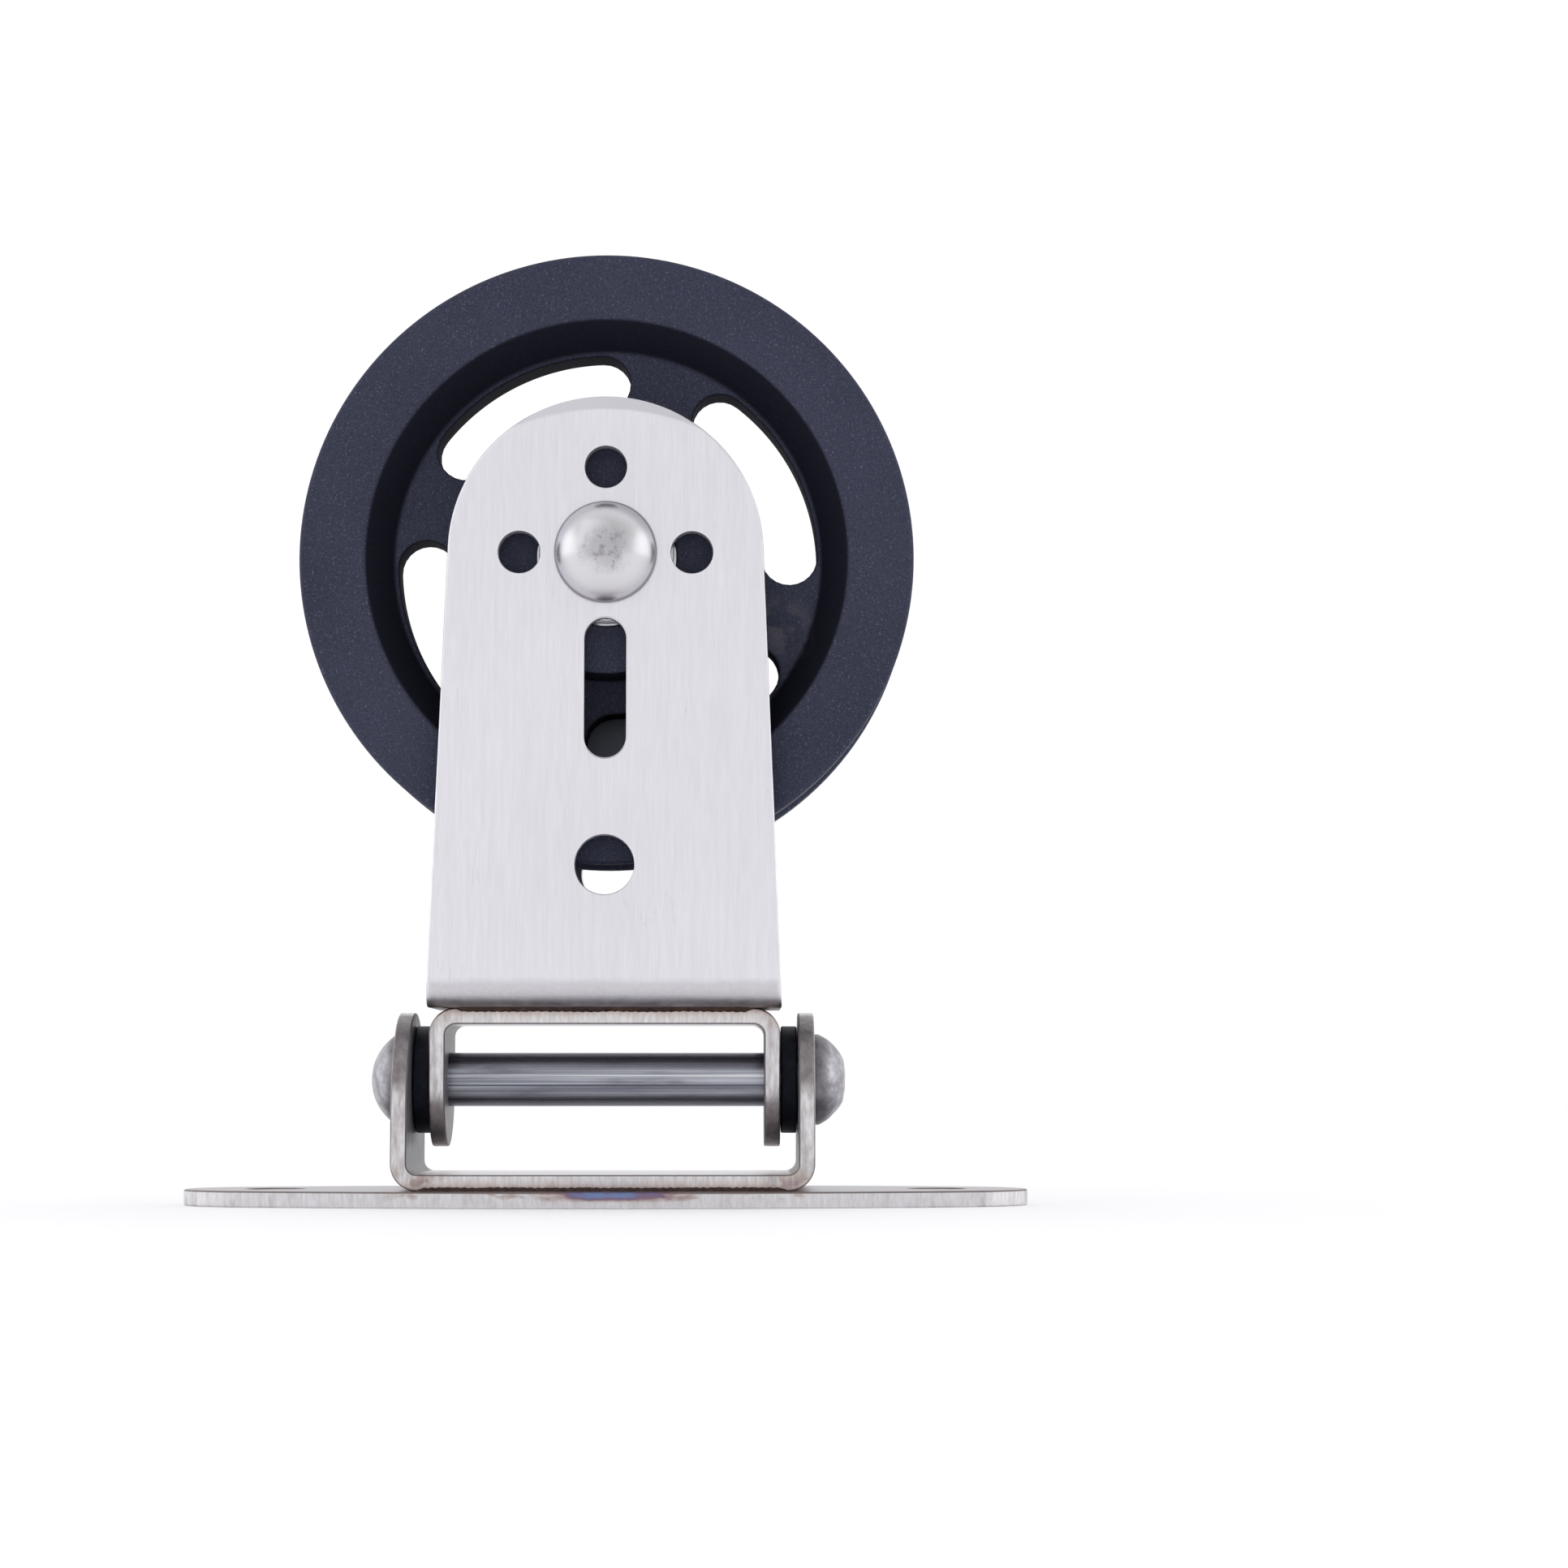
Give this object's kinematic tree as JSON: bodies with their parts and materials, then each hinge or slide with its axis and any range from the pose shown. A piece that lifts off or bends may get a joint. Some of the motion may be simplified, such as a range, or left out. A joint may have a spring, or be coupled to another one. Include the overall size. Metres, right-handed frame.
{
  "type": "swivel cable pulley",
  "caption": "Grooved black cable wheel on ball bearings in a bent steel fork that tilts on a riveted hinge over an oval wall plate.",
  "frame": {"origin": "under the middle of the wall plate, on its back face", "axes": "+Z away from the wall, towards the wheel; +X along the plate and the hinge pin; the wheel's axle lies along Y, with the front at -Y"},
  "size_m": [0.158, 0.05, 0.1783],
  "materials": {
    "plate_steel": "brushed stainless sheet, cut edges",
    "clevis_steel": "brushed stainless sheet with rough cut edges",
    "weld": "heat-darkened weld metal",
    "pin_steel": "turned and drawn steel, semi-polished",
    "black_washer": "black nylon",
    "fork_steel": "fine vertical brushing",
    "axle_steel": "polished rivet, scuffed where it was formed",
    "spacer_steel": "turned steel",
    "race_steel": "ground bearing steel",
    "cage_steel": "pressed steel",
    "shield_steel": "pressed steel",
    "black_nylon": "moulded nylon with a fine grain"
  },
  "bodies": {
    "base": {"base_plate": "plate_steel", "outer_clevis": "clevis_steel", "base_welds": "weld", "hinge_pin": "pin_steel", "hinge_washer_left": "black_washer", "hinge_washer_right": "black_washer"},
    "fork_frame": {"inner_clevis": "clevis_steel", "fork": "fork_steel", "fork_welds": "weld", "axle_rivet": "axle_steel", "front_spacer_washer": "spacer_steel", "rear_spacer_washer": "spacer_steel", "bearing_spacer_tube": "spacer_steel", "front_inner_race": "race_steel", "rear_inner_race": "race_steel"},
    "wheel": {"sheave": "black_nylon", "front_outer_race": "race_steel", "rear_outer_race": "race_steel", "front_balls": "race_steel", "rear_balls": "race_steel", "front_cage": "cage_steel", "rear_cage": "cage_steel", "front_outer_shield": "shield_steel", "front_inner_shield": "shield_steel", "rear_outer_shield": "shield_steel", "rear_inner_shield": "shield_steel"}
  },
  "joints": [
    {"name": "fork_tilt", "type": "hinge", "parent": "base", "child": "fork_frame", "pos_m": [0, 0, 0.0234], "axis": [1, 0, 0], "range_deg": [-86, 86]},
    {"name": "wheel_spin", "type": "hinge", "parent": "fork_frame", "child": "wheel", "pos_m": [0, 0, 0.1208], "axis": [0, 1, 0], "continuous": true}
  ]
}
